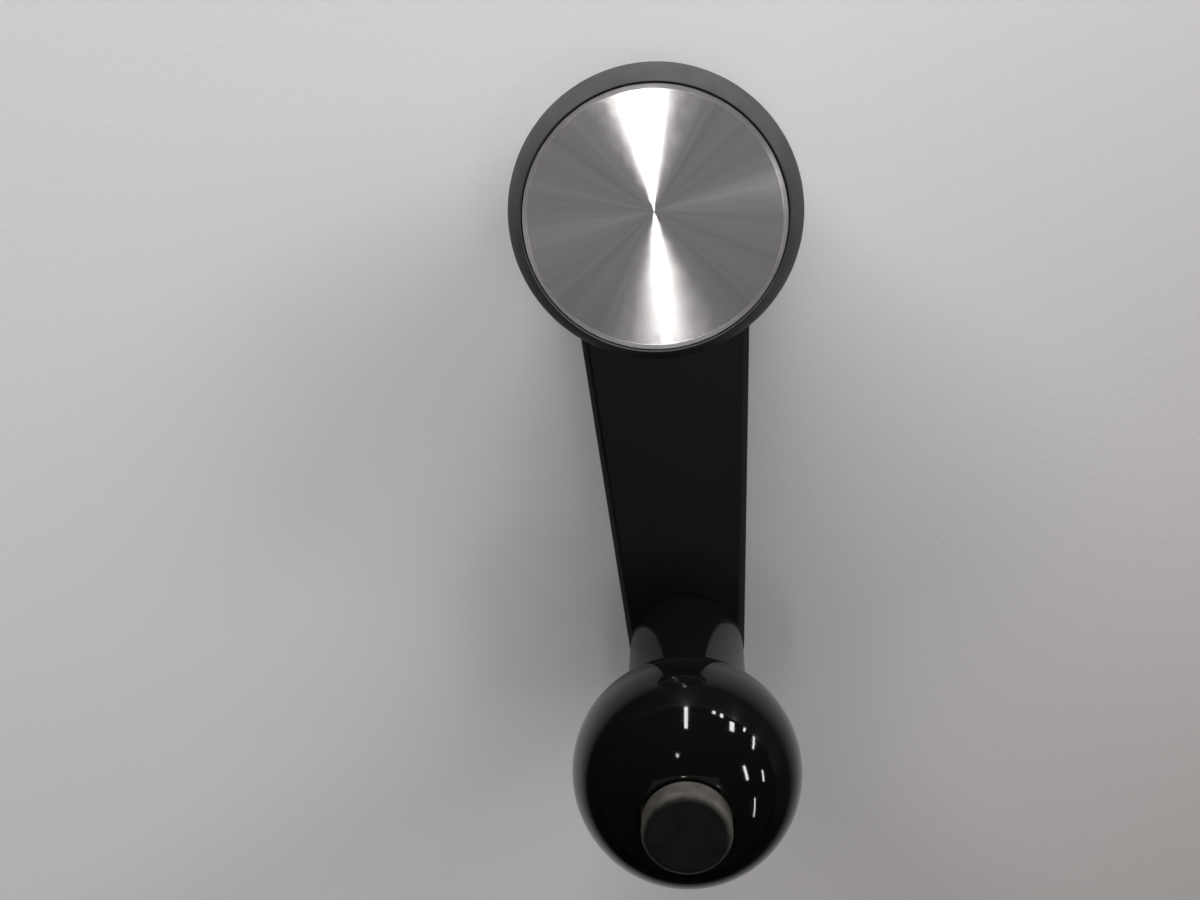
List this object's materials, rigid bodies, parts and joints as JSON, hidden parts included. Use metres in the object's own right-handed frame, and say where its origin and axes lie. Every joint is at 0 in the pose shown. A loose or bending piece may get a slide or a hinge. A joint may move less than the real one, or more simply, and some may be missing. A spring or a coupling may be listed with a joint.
{
  "type": "winch handle",
  "caption": "Short crank handle: tapered black arm, square drive hub under a round cap with a spun metal disc, and a tall ball knob that revolves on a steel spindle.",
  "frame": {"origin": "centre of the drive socket's pilot bore at the hub's back face, which is also the plane the handle lies on", "axes": "+Z along the drive axis towards the cap, +X along the arm towards the knob"},
  "size_m": [0.1103, 0.0446, 0.076],
  "materials": {
    "arm_paint": "satin black stove enamel on a zinc die casting",
    "turned_steel": "machined",
    "plated_screw": "bright zinc plate",
    "spring_steel": "oiled spring steel",
    "bezel_plastic": "dark grey moulded, fine matt texture",
    "spun_aluminium": "circular brushed face with a bevelled rim",
    "adhesive_pad": "foam adhesive pad",
    "seal_rubber": "moulded",
    "spindle_steel": "oil-blackened turned steel, worn bright round the rim",
    "knob_phenolic": "polished black phenolic",
    "liner_brass": "drawn",
    "bush_bronze": "sintered, oil filled"
  },
  "bodies": {
    "handle": {"crank_arm": "arm_paint", "drive_insert": "turned_steel", "retaining_screw": "plated_screw", "spring_washer": "spring_steel", "plain_washer": "plated_screw", "cap_bezel": "bezel_plastic", "cap_disc": "spun_aluminium", "disc_adhesive": "adhesive_pad", "cap_snap_ring": "spring_steel", "cap_seal": "seal_rubber", "knob_spindle": "spindle_steel", "base_washer": "turned_steel", "wave_washer": "spring_steel", "head_washer": "bush_bronze", "rivet_washer": "plated_screw", "dust_seal": "seal_rubber"},
    "knob": {"knob": "knob_phenolic", "knob_liner": "liner_brass", "outer_bush": "bush_bronze", "inner_bush": "bush_bronze"}
  },
  "joints": [
    {"name": "knob_spin", "type": "hinge", "parent": "handle", "child": "knob", "pos_m": [0.072, 0, 0.058], "axis": [0, 0, 1], "continuous": true}
  ]
}
